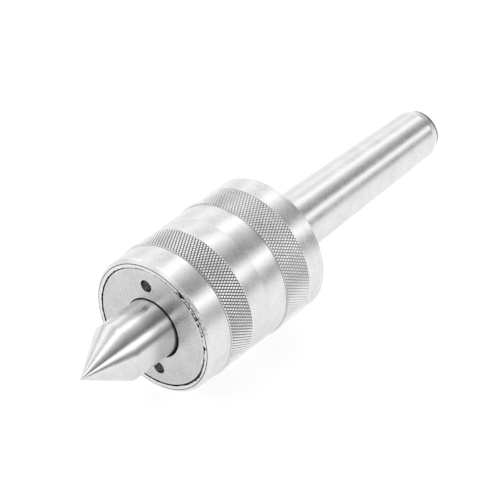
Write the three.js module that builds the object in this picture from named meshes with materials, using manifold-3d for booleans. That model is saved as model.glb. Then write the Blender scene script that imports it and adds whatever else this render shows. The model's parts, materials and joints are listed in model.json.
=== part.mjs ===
// Live center for a lathe tailstock: a 60 degree point that turns on three rolling bearings
// in a round housing with a Morse taper 2 shank.
//
// Millimetres. The origin is on the axis, in the gauge plane of the taper, where the taper is
// 17.78 mm across. +X runs along the axis towards the point, and +Z is up.
// Every piece is turned about its own Y axis, and the whole group is then turned so that Y lies along +X.

import * as THREE from "three";
import { mergeVertices } from "three/addons/utils/BufferGeometryUtils.js";
import Module from "manifold-3d";

const wasm = await Module();
wasm.setup();

// ---------------------------------------------------------------- driving dimensions

// Facets round a turned piece: more on the large outer pieces than on the bearings.
const OUTER_SIDES = 40;
const INNER_SIDES = 32;

// Gaps between pieces that touch in the real object.
const SEAT_GAP = 0.1;
const FACE_GAP = 0.05;
const ROLLING_GAP = 0.12;

// Morse taper 2 shank.
const GAUGE_RADIUS = 17.78 / 2;
const TAPER_PER_MM = 0.04995 / 2;
const SHANK_LENGTH = 65.5;
const SHANK_LEAD_LENGTH = 3.4;
const SHANK_LEAD_DEPTH = 1.2;
const STAND_OFF = 5;

// 60 degree lathe centre hole in the shank's end.
const CENTRE_HOLE_RADIUS = 3;
const CENTRE_PILOT_RADIUS = 1.25;
const CENTRE_PILOT_DEPTH = 5.5;
const DRILL_POINT_SLOPE = 0.6;

// Housing body.
const BODY_LENGTH = 50;
const BODY_RADIUS = 20.75;
const BODY_REAR = STAND_OFF;
const BODY_FRONT = BODY_REAR + BODY_LENGTH;
const BODY_CHAMFER = 1;
const KNURL_RADIUS = 21.2;
const KNURL_BEVEL = 0.25;
const REAR_KNURL = { start: 12.8, end: 22.1 };
const FRONT_KNURL = { start: 37.4, end: 45.9 };

// Front cap, screwed into the mouth of the housing.
const CAP_RADIUS = 18.2;
const CAP_WIDTH = 6.9;
const CAP_HOLE_RADIUS = 9.2;
const CAP_CHAMFER = 0.3;
const CAP_RIM_RADIUS = 15.3;
const CAP_RELIEF = 0.8;
const THREAD_GAP = 0.15;
const PIN_HOLE_RADIUS = 1.85;
const PIN_HOLE_DEPTH = 3.2;
const PIN_HOLE_PITCH_RADIUS = 13.3;
const PIN_HOLE_TILT = THREE.MathUtils.degToRad(8.9);
const PIN_HOLE_SIDES = 16;

// Dust seal in the cap's inner groove.
const SEAL_RADIUS = 11;
const SEAL_WIDTH = 3;
const SEAL_SETBACK = 1.8;
const SEAL_LIP_GAP = 0.15;

// Spindle.
const POINT_HALF_ANGLE = THREE.MathUtils.degToRad(30);
const NOSE_RADIUS = 17.6 / 2;
const POINT_TIP = 84.7;
const TIP_FLAT_RADIUS = 0.12;
const TAIL_STEP = 24;
const TAIL_END = 6.8;
const TAIL_RADIUS = 4.95;
const EDGE_BREAK = 0.3;

// Deep-groove ball bearing, 15 x 35 x 11, behind the cap.
const FRONT_BEARING = {
  centre: 42.5, width: 11, boreRadius: 7.5, outerRadius: 17.5,
  ballRadius: 5.953 / 2, pitchRadius: 12.5, balls: 8,
  innerLand: 10.9, outerLand: 14.9, rabbetRadius: 16, rabbetDepth: 1.1,
};

// Thrust ball bearing, 12 x 26 x 9, behind the spindle's middle shoulder.
const THRUST_BEARING = {
  centre: 30.05, height: 9, boreRadius: 6, outerRadius: 13,
  ballRadius: 4.762 / 2, pitchRadius: 9.5, balls: 10, washer: 2.55,
};

// Drawn-cup needle roller bearing, 10 x 14 x 12, on the spindle's tail.
const NEEDLE_BEARING = {
  centre: 13.1, width: 12, outerRadius: 7, wall: 0.4, lipRadius: 5.5, lip: 0.6,
  rollerRadius: 0.75, rollerLength: 9.4, pitchRadius: 5.77, rollers: 12,
};

// External circlip on the spindle, behind the front bearing.
const CIRCLIP = {
  grooveRadius: 7, grooveWidth: 1.2, thickness: 1, innerRadius: 7.1, outerRadius: 9.3,
  lugRadius: 10.6, lugHole: 0.85, lugAngle: 11, mouthHalfAngle: 12,
};

// ---------------------------------------------------------------- finishes

const finish = (color, roughness, metalness) => () =>
  new THREE.MeshStandardMaterial({ color, roughness, metalness });

const turnedSteel = finish(0xc9cbcd, 0.35, 1);
const capSteel = finish(0xa9abad, 0.45, 1);
const groundSteel = finish(0xd3d5d8, 0.18, 1);
const bearingSteel = finish(0xb9bcc0, 0.15, 1);
const sheetSteel = finish(0xa5a8ac, 0.35, 1);
const springSteel = finish(0x35373a, 0.4, 1);
const sealRubber = finish(0x17181a, 0.8, 0);

// ---------------------------------------------------------------- shape helpers

// A turned piece. The outline is a list of [place along the axis, radius], and one that doesn't
// start and end on the axis is closed on itself.
function turned(outline, sides = OUTER_SIDES) {
  const points = outline.map(([along, radius]) => new THREE.Vector2(radius, along));
  const solidToTheAxis = points[0].x === 0 && points.at(-1).x === 0;
  if (!solidToTheAxis) points.push(points[0].clone());
  if (THREE.ShapeUtils.area(points) < 0) points.reverse();
  return new THREE.LatheGeometry(points, sides);
}

// A ring of rectangular section.
function ring(from, to, innerRadius, outerRadius, sides = INNER_SIDES) {
  return turned([[from, innerRadius], [from, outerRadius], [to, outerRadius], [to, innerRadius]], sides);
}

// Outline points on a round groove. Angle 0 points along the axis and 90 points away from it.
function arc(along, radius, grooveRadius, fromDegrees, toDegrees, steps = 5) {
  return Array.from({ length: steps + 1 }, (_, step) => {
    const angle = THREE.MathUtils.degToRad(fromDegrees + (toDegrees - fromDegrees) * step / steps);
    return [along + grooveRadius * Math.cos(angle), radius + grooveRadius * Math.sin(angle)];
  });
}

// The same outline on both sides of the piece's middle plane: the given half, then its mirror image.
function mirrored(half) {
  return [...half, ...half.toReversed().map(([along, radius]) => [-along, radius])];
}

function toSolid(geometry) {
  const bare = geometry.clone();
  bare.deleteAttribute("normal");
  bare.deleteAttribute("uv");
  const merged = mergeVertices(bare, 1e-4);
  const corners = merged.index.array;
  const triangles = [];
  for (let i = 0; i < corners.length; i += 3) {
    const [a, b, c] = corners.slice(i, i + 3);
    if (a !== b && b !== c && c !== a) triangles.push(a, b, c);
  }
  return new wasm.Manifold(new wasm.Mesh({
    numProp: 3,
    vertProperties: merged.attributes.position.array,
    triVerts: new Uint32Array(triangles),
  }));
}

function cut(blank, cutters) {
  const solid = cutters.reduce((rest, cutter) => rest.subtract(toSolid(cutter)), toSolid(blank));
  const mesh = solid.getMesh();
  const geometry = new THREE.BufferGeometry();
  geometry.setAttribute("position", new THREE.BufferAttribute(new Float32Array(mesh.vertProperties), 3));
  geometry.setIndex(new THREE.BufferAttribute(new Uint32Array(mesh.triVerts), 1));
  geometry.computeVertexNormals();
  return geometry;
}

// Places spread evenly round the axis, as angles from +Z.
function roundTheAxis(count) {
  return Array.from({ length: count }, (_, index) => 2 * Math.PI * index / count);
}

// Moves a cutter out to a pitch circle, and turns it with its place.
function outTo(geometry, pitchRadius, angle, along = 0) {
  return geometry.translate(0, along, pitchRadius).rotateY(angle);
}

function piece(name, geometry, material) {
  const mesh = new THREE.Mesh(geometry, material());
  mesh.name = name;
  return mesh;
}

function assembly(along, ...children) {
  const group = new THREE.Group();
  group.position.y = along;
  group.add(...children);
  return group;
}

// ---------------------------------------------------------------- housing with its shank

const taperRadius = (along) => GAUGE_RADIUS + TAPER_PER_MM * along;

function knurlBand({ start, end }) {
  return [
    [start, BODY_RADIUS],
    [start + KNURL_BEVEL, KNURL_RADIUS],
    [end - KNURL_BEVEL, KNURL_RADIUS],
    [end, BODY_RADIUS],
  ];
}

function shankOutline() {
  const end = -SHANK_LENGTH;
  const coneDepth = (CENTRE_HOLE_RADIUS - CENTRE_PILOT_RADIUS) / Math.tan(POINT_HALF_ANGLE);
  return [
    [end + CENTRE_PILOT_DEPTH + CENTRE_PILOT_RADIUS * DRILL_POINT_SLOPE, 0],
    [end + CENTRE_PILOT_DEPTH, CENTRE_PILOT_RADIUS],
    [end + coneDepth, CENTRE_PILOT_RADIUS],
    [end, CENTRE_HOLE_RADIUS],
    [end, taperRadius(end) - SHANK_LEAD_DEPTH],
    [end + SHANK_LEAD_LENGTH, taperRadius(end + SHANK_LEAD_LENGTH)],
    [BODY_REAR, taperRadius(BODY_REAR)],
  ];
}

function bodyOutline() {
  return [
    [BODY_REAR, BODY_RADIUS - BODY_CHAMFER],
    [BODY_REAR + BODY_CHAMFER, BODY_RADIUS],
    ...knurlBand(REAR_KNURL),
    ...knurlBand(FRONT_KNURL),
    [BODY_FRONT - BODY_CHAMFER, BODY_RADIUS],
    [BODY_FRONT, BODY_RADIUS - BODY_CHAMFER],
  ];
}

// The bores, from the cap's thread inwards: front bearing, thrust bearing, needle bearing.
function boreOutline() {
  const threadRadius = CAP_RADIUS + THREAD_GAP;
  const frontSeat = FRONT_BEARING.outerRadius + SEAT_GAP;
  const thrustSeat = THRUST_BEARING.outerRadius + SEAT_GAP;
  const needleSeat = NEEDLE_BEARING.outerRadius + SEAT_GAP;
  const frontEnd = FRONT_BEARING.centre - FRONT_BEARING.width / 2 - FACE_GAP;
  const thrustEnd = THRUST_BEARING.centre - THRUST_BEARING.height / 2 - FACE_GAP;
  const needleEnd = NEEDLE_BEARING.centre - NEEDLE_BEARING.width / 2 - FACE_GAP;
  return [
    [BODY_FRONT, threadRadius + CAP_CHAMFER],
    [BODY_FRONT - CAP_CHAMFER, threadRadius],
    [BODY_FRONT - CAP_WIDTH - SEAT_GAP, threadRadius],
    [BODY_FRONT - CAP_WIDTH - SEAT_GAP, frontSeat],
    [frontEnd, frontSeat],
    [frontEnd, thrustSeat],
    [thrustEnd, thrustSeat],
    [thrustEnd, needleSeat],
    [needleEnd, needleSeat],
    [needleEnd, NEEDLE_BEARING.lipRadius],
    [needleEnd - NEEDLE_BEARING.lipRadius * DRILL_POINT_SLOPE, 0],
  ];
}

const housing = piece("housing", turned([...shankOutline(), ...bodyOutline(), ...boreOutline()]), turnedSteel);

// ---------------------------------------------------------------- front cap and its seal

function pinHole(angle) {
  const drill = turned([
    [-PIN_HOLE_DEPTH - PIN_HOLE_RADIUS * DRILL_POINT_SLOPE, 0],
    [-PIN_HOLE_DEPTH, PIN_HOLE_RADIUS],
    [1, PIN_HOLE_RADIUS],
    [1, 0],
  ], PIN_HOLE_SIDES);
  return outTo(drill, PIN_HOLE_PITCH_RADIUS, angle);
}

// The cap is modelled back from its front face. Its rear rim clamps the bearing's outer race.
function capGeometry() {
  const sealGroove = SEAL_RADIUS + SEAT_GAP;
  const ringOfSteel = turned([
    [0, CAP_HOLE_RADIUS + CAP_CHAMFER],
    [0, CAP_RADIUS - CAP_CHAMFER],
    [-CAP_CHAMFER, CAP_RADIUS],
    [-CAP_WIDTH + CAP_CHAMFER, CAP_RADIUS],
    [-CAP_WIDTH, CAP_RADIUS - CAP_CHAMFER],
    [-CAP_WIDTH, CAP_RIM_RADIUS],
    [-CAP_WIDTH + CAP_RELIEF, CAP_RIM_RADIUS],
    [-CAP_WIDTH + CAP_RELIEF, CAP_HOLE_RADIUS],
    [-SEAL_SETBACK - SEAL_WIDTH, CAP_HOLE_RADIUS],
    [-SEAL_SETBACK - SEAL_WIDTH, sealGroove],
    [-SEAL_SETBACK, sealGroove],
    [-SEAL_SETBACK, CAP_HOLE_RADIUS],
    [-CAP_CHAMFER, CAP_HOLE_RADIUS],
  ]);
  return cut(ringOfSteel, [pinHole(PIN_HOLE_TILT), pinHole(PIN_HOLE_TILT + Math.PI)]);
}

// A rubber ring with a bevelled lip that reaches in to the nose.
function sealGeometry() {
  const front = -SEAL_SETBACK - SEAT_GAP;
  const rear = -SEAL_SETBACK - SEAL_WIDTH + SEAT_GAP;
  const lipRadius = NOSE_RADIUS + SEAL_LIP_GAP;
  const middle = (front + rear) / 2;
  return turned([
    [front, CAP_HOLE_RADIUS],
    [front, SEAL_RADIUS],
    [rear, SEAL_RADIUS],
    [rear, CAP_HOLE_RADIUS],
    [middle, lipRadius],
  ], INNER_SIDES);
}

const cap = assembly(
  BODY_FRONT,
  piece("front_cap", capGeometry(), capSteel),
  piece("cap_seal", sealGeometry(), sealRubber),
);

// ---------------------------------------------------------------- spindle

function spindleGeometry() {
  const noseEnd = POINT_TIP - NOSE_RADIUS / Math.tan(POINT_HALF_ANGLE);
  const tipFlat = POINT_TIP - TIP_FLAT_RADIUS / Math.tan(POINT_HALF_ANGLE);
  const frontJournal = FRONT_BEARING.boreRadius;
  const thrustJournal = THRUST_BEARING.boreRadius;
  const noseShoulder = FRONT_BEARING.centre + FRONT_BEARING.width / 2 + FACE_GAP;
  const thrustShoulder = THRUST_BEARING.centre + THRUST_BEARING.height / 2 + FACE_GAP;
  const grooveFront = FRONT_BEARING.centre - FRONT_BEARING.width / 2 - FACE_GAP;
  return turned([
    [TAIL_END, 0],
    [TAIL_END, TAIL_RADIUS - 2 * EDGE_BREAK],
    [TAIL_END + 2 * EDGE_BREAK, TAIL_RADIUS],
    [TAIL_STEP, TAIL_RADIUS],
    [TAIL_STEP, thrustJournal - EDGE_BREAK],
    [TAIL_STEP + EDGE_BREAK, thrustJournal],
    [thrustShoulder, thrustJournal],
    [thrustShoulder, frontJournal],
    [grooveFront - CIRCLIP.grooveWidth, frontJournal],
    [grooveFront - CIRCLIP.grooveWidth, CIRCLIP.grooveRadius],
    [grooveFront, CIRCLIP.grooveRadius],
    [grooveFront, frontJournal],
    [noseShoulder, frontJournal],
    [noseShoulder, NOSE_RADIUS - EDGE_BREAK],
    [noseShoulder + EDGE_BREAK, NOSE_RADIUS],
    [noseEnd, NOSE_RADIUS],
    [tipFlat, TIP_FLAT_RADIUS],
    [tipFlat, 0],
  ]);
}

// A C-shaped ring with a lug and a plier hole at each end of its mouth.
function circlipGeometry() {
  const { innerRadius, outerRadius, lugRadius, lugHole, lugAngle, mouthHalfAngle, thickness } = CIRCLIP;
  const mouth = THREE.MathUtils.degToRad(mouthHalfAngle);
  const lugEnd = THREE.MathUtils.degToRad(mouthHalfAngle + 2 * lugAngle);
  const turn = 2 * Math.PI;
  const outline = new THREE.Shape();
  outline.absarc(0, 0, lugRadius, mouth, lugEnd, false);
  outline.absarc(0, 0, outerRadius, lugEnd, turn - lugEnd, false);
  outline.absarc(0, 0, lugRadius, turn - lugEnd, turn - mouth, false);
  outline.absarc(0, 0, innerRadius, turn - mouth, mouth, true);
  const holePitch = (innerRadius + lugRadius) / 2;
  for (const side of [-1, 1]) {
    const angle = side * THREE.MathUtils.degToRad(mouthHalfAngle + lugAngle);
    const hole = new THREE.Path();
    hole.absarc(holePitch * Math.cos(angle), holePitch * Math.sin(angle), lugHole, 0, turn, false);
    outline.holes.push(hole);
  }
  const flat = new THREE.ExtrudeGeometry(outline, { depth: thickness, bevelEnabled: false, curveSegments: 10 });
  return flat.rotateX(-Math.PI / 2).rotateY(Math.PI / 2);
}

const circlipRear = FRONT_BEARING.centre - FRONT_BEARING.width / 2 - FACE_GAP
  - (CIRCLIP.grooveWidth + CIRCLIP.thickness) / 2;

const spindle = piece("spindle", spindleGeometry(), groundSteel);
const circlip = assembly(circlipRear, piece("spindle_circlip", circlipGeometry(), springSteel));

// ---------------------------------------------------------------- front ball bearing

// A ring with a round pocket for each ball.
function ballCage({ ballRadius, pitchRadius, balls }, halfWidth, innerRadius, outerRadius) {
  const pockets = roundTheAxis(balls).map((angle) =>
    outTo(new THREE.SphereGeometry(ballRadius + ROLLING_GAP, 12, 8), pitchRadius, angle));
  return cut(ring(-halfWidth, halfWidth, innerRadius, outerRadius), pockets);
}

function ballSet(name, { ballRadius, pitchRadius, balls }) {
  return roundTheAxis(balls).map((angle, index) => {
    const ball = piece(`${name}_${index + 1}`, new THREE.SphereGeometry(ballRadius, 10, 7), bearingSteel);
    ball.position.set(pitchRadius * Math.sin(angle), 0, pitchRadius * Math.cos(angle));
    ball.rotation.y = angle;
    return ball;
  });
}

function frontBearing() {
  const b = FRONT_BEARING;
  const half = b.width / 2;
  const corner = 0.5;
  const groove = b.ballRadius + ROLLING_GAP;
  const outerAngle = THREE.MathUtils.radToDeg(Math.asin((b.outerLand - b.pitchRadius) / groove));
  const innerAngle = THREE.MathUtils.radToDeg(Math.asin((b.innerLand - b.pitchRadius) / groove));
  const outerRace = turned([
    ...mirrored([
      [half - b.rabbetDepth, b.rabbetRadius],
      [half, b.rabbetRadius],
      [half, b.outerRadius - corner],
      [half - corner, b.outerRadius],
    ]),
    [-half + b.rabbetDepth, b.outerLand],
    ...arc(0, b.pitchRadius, groove, 180 - outerAngle, outerAngle),
    [half - b.rabbetDepth, b.outerLand],
  ], INNER_SIDES);
  const innerRace = turned([
    ...arc(0, b.pitchRadius, groove, 180 - innerAngle, 360 + innerAngle),
    [half, b.innerLand],
    [half, b.boreRadius + SEAT_GAP],
    [-half, b.boreRadius + SEAT_GAP],
    [-half, b.innerLand],
  ], INNER_SIDES);
  const shieldInner = b.innerLand + 0.3;
  const shieldOuter = b.rabbetRadius - SEAT_GAP;
  const shieldFace = half - b.rabbetDepth + SEAT_GAP;
  const shieldSheet = 0.4;
  const frontShield = ring(shieldFace, shieldFace + shieldSheet, shieldInner, shieldOuter);
  const rearShield = ring(-shieldFace - shieldSheet, -shieldFace, shieldInner, shieldOuter);
  const cageHalfWidth = 3.7;
  const cageInner = b.pitchRadius - 1.1;
  const cageOuter = b.pitchRadius + 1.1;
  return assembly(
    b.centre,
    piece("front_bearing_outer_race", outerRace, bearingSteel),
    piece("front_bearing_inner_race", innerRace, bearingSteel),
    piece("front_bearing_front_shield", frontShield, sheetSteel),
    piece("front_bearing_rear_shield", rearShield, sheetSteel),
    piece("front_bearing_cage", ballCage(b, cageHalfWidth, cageInner, cageOuter), sheetSteel),
    ...ballSet("front_bearing_ball", b),
  );
}

// ---------------------------------------------------------------- thrust ball bearing

// A washer with a ball groove in the face towards the balls. The side is 1 in front of them, -1 behind.
function thrustWasher(side, innerRadius, outerRadius) {
  const b = THRUST_BEARING;
  const back = b.height / 2;
  const face = back - b.washer;
  const groove = b.ballRadius + ROLLING_GAP;
  const grooveAngle = THREE.MathUtils.radToDeg(Math.acos(face / groove));
  return turned([
    [back, innerRadius],
    [face, innerRadius],
    ...arc(0, b.pitchRadius, groove, -grooveAngle, grooveAngle, 4),
    [face, outerRadius],
    [back, outerRadius],
  ].map(([along, radius]) => [side * along, radius]), INNER_SIDES);
}

function thrustBearing() {
  const b = THRUST_BEARING;
  const washerPlay = 0.15;
  const housingWasherBore = b.boreRadius + 0.6;
  const cageHalfWidth = 0.9;
  const cageInner = b.boreRadius + 0.9;
  const cageOuter = b.outerRadius - 0.7;
  return assembly(
    b.centre,
    piece("thrust_bearing_shaft_washer",
      thrustWasher(1, b.boreRadius + SEAT_GAP, b.outerRadius - washerPlay), bearingSteel),
    piece("thrust_bearing_housing_washer", thrustWasher(-1, housingWasherBore, b.outerRadius), bearingSteel),
    piece("thrust_bearing_cage", ballCage(b, cageHalfWidth, cageInner, cageOuter), sheetSteel),
    ...ballSet("thrust_bearing_ball", b),
  );
}

// ---------------------------------------------------------------- needle roller bearing

// A thin drawn cup whose ends turn in to hold the rollers.
function needleCup() {
  const { width, outerRadius, wall, lipRadius, lip } = NEEDLE_BEARING;
  const half = width / 2;
  return turned(mirrored([
    [half - lip, outerRadius - wall],
    [half - lip, lipRadius],
    [half, lipRadius],
    [half, outerRadius],
  ]), INNER_SIDES);
}

// A thin sleeve with a long window for each roller.
function needleCage() {
  const { width, lip, rollerRadius, rollerLength, pitchRadius, rollers } = NEEDLE_BEARING;
  const halfWidth = width / 2 - lip - 0.15;
  const halfWall = 0.4;
  const windowWidth = 2 * (rollerRadius + ROLLING_GAP);
  const windowLength = rollerLength + 2 * SEAT_GAP;
  const windows = roundTheAxis(rollers).map((angle) =>
    outTo(new THREE.BoxGeometry(windowWidth, windowLength, 4 * halfWall), pitchRadius, angle));
  return cut(ring(-halfWidth, halfWidth, pitchRadius - halfWall, pitchRadius + halfWall), windows);
}

function needleRollers() {
  const { rollerRadius, rollerLength, pitchRadius, rollers } = NEEDLE_BEARING;
  return roundTheAxis(rollers).map((angle, index) => {
    const shape = new THREE.CylinderGeometry(rollerRadius, rollerRadius, rollerLength, 10);
    const roller = piece(`needle_bearing_roller_${index + 1}`, shape, bearingSteel);
    roller.position.set(pitchRadius * Math.sin(angle), 0, pitchRadius * Math.cos(angle));
    return roller;
  });
}

function needleBearing() {
  return assembly(
    NEEDLE_BEARING.centre,
    piece("needle_bearing_cup", needleCup(), sheetSteel),
    piece("needle_bearing_cage", needleCage(), sheetSteel),
    ...needleRollers(),
  );
}

// ---------------------------------------------------------------- whole live center

const liveCenter = new THREE.Group();
liveCenter.rotation.z = -Math.PI / 2;
liveCenter.add(housing, cap, spindle, circlip, frontBearing(), thrustBearing(), needleBearing());

export default liveCenter;
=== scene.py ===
import json
import math
from collections import namedtuple

import bmesh
import bpy
from mathutils import Matrix, Vector, noise


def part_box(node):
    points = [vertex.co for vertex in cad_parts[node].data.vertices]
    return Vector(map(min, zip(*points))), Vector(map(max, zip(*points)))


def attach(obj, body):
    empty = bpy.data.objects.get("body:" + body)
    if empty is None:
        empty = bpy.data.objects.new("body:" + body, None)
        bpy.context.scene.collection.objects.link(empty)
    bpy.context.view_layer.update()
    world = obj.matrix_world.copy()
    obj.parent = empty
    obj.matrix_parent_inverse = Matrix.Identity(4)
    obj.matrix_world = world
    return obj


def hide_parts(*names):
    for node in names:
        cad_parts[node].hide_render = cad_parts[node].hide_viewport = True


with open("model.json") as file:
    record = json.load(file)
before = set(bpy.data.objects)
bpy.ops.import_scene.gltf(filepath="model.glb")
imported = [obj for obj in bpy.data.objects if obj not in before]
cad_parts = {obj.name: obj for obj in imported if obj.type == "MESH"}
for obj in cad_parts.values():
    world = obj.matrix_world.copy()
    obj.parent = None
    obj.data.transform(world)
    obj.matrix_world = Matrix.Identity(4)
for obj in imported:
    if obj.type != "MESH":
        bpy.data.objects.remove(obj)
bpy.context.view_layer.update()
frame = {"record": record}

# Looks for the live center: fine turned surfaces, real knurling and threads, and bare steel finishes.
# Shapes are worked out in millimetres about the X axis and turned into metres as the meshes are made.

MM = 0.001
FULL_TURN = 2 * math.pi

Reach = namedtuple("Reach", "rear front radius")

def reach(node):
    """Where a CAD node begins and ends along X, and its radius, in millimetres."""
    low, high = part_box(node)
    return Reach(low.x / MM, high.x / MM, high.z / MM)

# ------------------------------------------------------------------ driving dimensions, mm

HOUSING = reach("housing")
CAP = reach("front_cap")
SPINDLE = reach("spindle")

SHANK_END = HOUSING.rear
BODY_LENGTH = 50
BODY_FRONT = HOUSING.front
BODY_REAR = BODY_FRONT - BODY_LENGTH
BODY_RADIUS = 20.75
BODY_CHAMFER = 1.0
GAUGE_RADIUS = 17.78 / 2
TAPER_PER_MM = 0.04995 / 2
LEAD_LENGTH = 3.4
LEAD_DEPTH = 1.2

# Fine lines are cut round the barrel, round the body near its rear face, and in its front face.
BARREL_LINE = 30.1
REAR_LINE = BODY_REAR + 1.4
FACE_LINE_RADIUS = 19.6

KNURL_RADIUS = HOUSING.radius
REAR_KNURL = (12.8, 22.1)
FRONT_KNURL = (37.4, 45.9)
KNURL_GROOVES = 138
KNURL_DEPTH = 0.36
KNURL_ANGLE = math.radians(30)
KNURL_GAP = 0.05
KNURL_STEP = 0.25
FOOT_LINE = 0.16
COLUMNS_PER_GROOVE = 6
TURNED_COLUMNS = KNURL_GROOVES
KNURL_COLUMNS = KNURL_GROOVES * COLUMNS_PER_GROOVE

THREAD_PITCH = 1.0
THREAD_DEPTH = 0.5
THREAD_ROWS_PER_TURN = 8
THREAD_RUN_OUT = 0.8
CAP_GAP = 0.15

CAP_HOLE_RADIUS = 9.2
CAP_HOLE_RUNOUT = 0.2
CAP_HOLE_RUNOUT_ANGLE = math.radians(115)
PIN_HOLE_RADIUS = 1.85
PIN_HOLE_DEPTH = 3.2
PIN_HOLE_PITCH_RADIUS = 13.3
PIN_HOLE_TILT = math.radians(-8.9)
DRILL_SLOPE = 0.6

# Damage to the front of the body, in degrees round from straight up towards +Y.
NOTCH_ANGLE = 33
TORN_ANGLE = 53
CRESCENT_ANGLE = 116

NOSE_RADIUS = 8.8
POINT_HALF_ANGLE = math.radians(30)

FINE_COLUMNS = 96

# A row nearer to the axis than this is one vertex.
ON_AXIS = 1e-6

# Most corners are rounded to the first of these. A corner that turns less than the second stays as it is,
# a rounded one takes a facet for each of the third, and no more than the last share of a side next to it.
EDGE = 0.12
STRAIGHT = math.radians(4)
FACET_TURN = math.radians(20)
ROUNDED_SHARE = 0.45

# ------------------------------------------------------------------ turned meshes

# One ring of vertices: place along X, radius, columns round the axis, a relief that adds to the radius,
# and which of the piece's finishes the band after it has.
Row = namedtuple("Row", "x radius columns relief finish", defaults=(TURNED_COLUMNS, None, 0))

def softened(outline, edge, part):
    """Rounds each corner of an outline of (x, radius) points. A third value is a corner's own edge radius.
    A part of an outline, which goes on in other rows, keeps its two ends as they are."""
    points = []
    ends = (0, len(outline) - 1) if part else ()
    for index, corner in enumerate(outline):
        here = Vector(corner[:2])
        back = Vector(outline[index - 1][:2]) - here
        ahead = Vector(outline[(index + 1) % len(outline)][:2]) - here
        rounding = corner[2] if len(corner) > 2 else edge
        turn = math.pi - back.angle(ahead, math.pi)
        if index in ends or corner[1] == 0 or turn < STRAIGHT or rounding == 0:
            points.append(tuple(here))
            continue
        run = min(rounding * math.tan(turn / 2), ROUNDED_SHARE * min(back.length, ahead.length))
        inward = (back.normalized() + ahead.normalized()).normalized()
        centre = here + inward * (run / math.sin(turn / 2))
        spoke = here + back.normalized() * run - centre
        side = 1 if back.cross(ahead) < 0 else -1
        steps = max(2, math.ceil(turn / FACET_TURN))
        for step in range(steps + 1):
            points.append(tuple(centre + Matrix.Rotation(side * turn * step / steps, 2) @ spoke))
    return points

def rows(outline, edge=EDGE, part=False, **settings):
    """The rows of an outline once its corners are rounded. The settings are the same for every row."""
    return [Row(x, radius, **settings) for x, radius in softened(outline, edge, part)]

def arc(x, radius, groove_radius, start, end, steps=14):
    """Outline points on a ball groove. Angle 0 is along X and 90 is away from the axis."""
    angles = [math.radians(start + (end - start) * step / steps) for step in range(steps + 1)]
    return [(x + groove_radius * math.cos(a), radius + groove_radius * math.sin(a), 0) for a in angles]

def ring(mesh, row):
    """The vertices of one row, or the one vertex of a row on the axis."""
    if row.radius < ON_AXIS:
        return [mesh.verts.new((row.x * MM, 0, 0))]
    verts = []
    for column in range(row.columns):
        angle = FULL_TURN * column / row.columns
        radius = row.radius + (row.relief(row.x, angle) if row.relief else 0)
        verts.append(mesh.verts.new(Vector((row.x, radius * math.sin(angle), radius * math.cos(angle))) * MM))
    return verts

def bridge(mesh, first, second, finish, split):
    """Faces between two rings. Rings of one size get quads, cut into triangles that alternate if split is
    0 or 1. A ring and a coarser one get a fan from each coarse vertex."""
    coarse, fine = sorted((first, second), key=len)
    made = []
    if len(coarse) == 1:
        made = [(coarse[0], fine[i - 1], fine[i]) for i in range(len(fine))]
    elif len(coarse) == len(fine):
        for i in range(len(fine)):
            a, b, c, d = first[i - 1], first[i], second[i], second[i - 1]
            if split is None:
                made.append((a, b, c, d))
            elif (i + split) % 2:
                made += [(a, b, c), (a, c, d)]
            else:
                made += [(a, b, d), (b, c, d)]
    else:
        ratio = len(fine) // len(coarse)
        for i in range(len(coarse)):
            a, b = coarse[i], coarse[(i + 1) % len(coarse)]
            edge = [fine[(i * ratio + k) % len(fine)] for k in range(ratio + 1)]
            middle = ratio // 2
            made.append((a, edge[middle], b))
            made += [(a if k < middle else b, edge[k], edge[k + 1]) for k in range(ratio)]
    for corners in made:
        mesh.faces.new(corners).material_index = finish

def turned_mesh(all_rows):
    """A closed mesh about the X axis. Rows that don't start and end on the axis are closed on themselves."""
    mesh = bmesh.new()
    rings = [ring(mesh, row) for row in all_rows]
    pairs = list(zip(range(len(rings) - 1), range(1, len(rings))))
    if all_rows[0].radius > 0:
        pairs.append((len(rings) - 1, 0))
    for first, second in pairs:
        knurled = min(all_rows[first].columns, all_rows[second].columns) > TURNED_COLUMNS
        bridge(mesh, rings[first], rings[second], all_rows[first].finish, first % 2 if knurled else None)
    bmesh.ops.recalc_face_normals(mesh, faces=mesh.faces)
    data = bpy.data.meshes.new("turned")
    mesh.to_mesh(data)
    mesh.free()
    return data

def moved_out(data, pitch_radius, angle, x=0.0):
    """Moves a mesh out from the axis to a place on a pitch circle, and turns it to face outward there."""
    out = Matrix.Translation(Vector((x, 0, pitch_radius)) * MM)
    data.transform(Matrix.Rotation(-angle, 4, "X") @ out)
    return data

def cut(data, cutters, finishes):
    """The mesh with the cutter meshes taken out of it. Its cut faces get the last of the finishes."""
    tool = bmesh.new()
    for cutter in cutters:
        tool.from_mesh(cutter)
    for face in tool.faces:
        face.material_index = len(finishes) - 1
    tool_data = bpy.data.meshes.new("cutter")
    tool.to_mesh(tool_data)
    tool.free()
    blank = bpy.data.objects.new("blank", data)
    knife = bpy.data.objects.new("knife", tool_data)
    for made in (blank, knife):
        bpy.context.scene.collection.objects.link(made)
        for finish in finishes:
            made.data.materials.append(finish)
    boolean = blank.modifiers.new("cut", "BOOLEAN")
    boolean.operation = "DIFFERENCE"
    boolean.solver = "EXACT"
    boolean.object = knife
    view = bpy.context.evaluated_depsgraph_get()
    result = bpy.data.meshes.new_from_object(blank.evaluated_get(view))
    for made in (blank, knife):
        bpy.data.objects.remove(made)
    return result

BODY_OF = {node: body for body, nodes in frame["record"]["behaviour"]["bodies"].items() for node in nodes}

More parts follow.
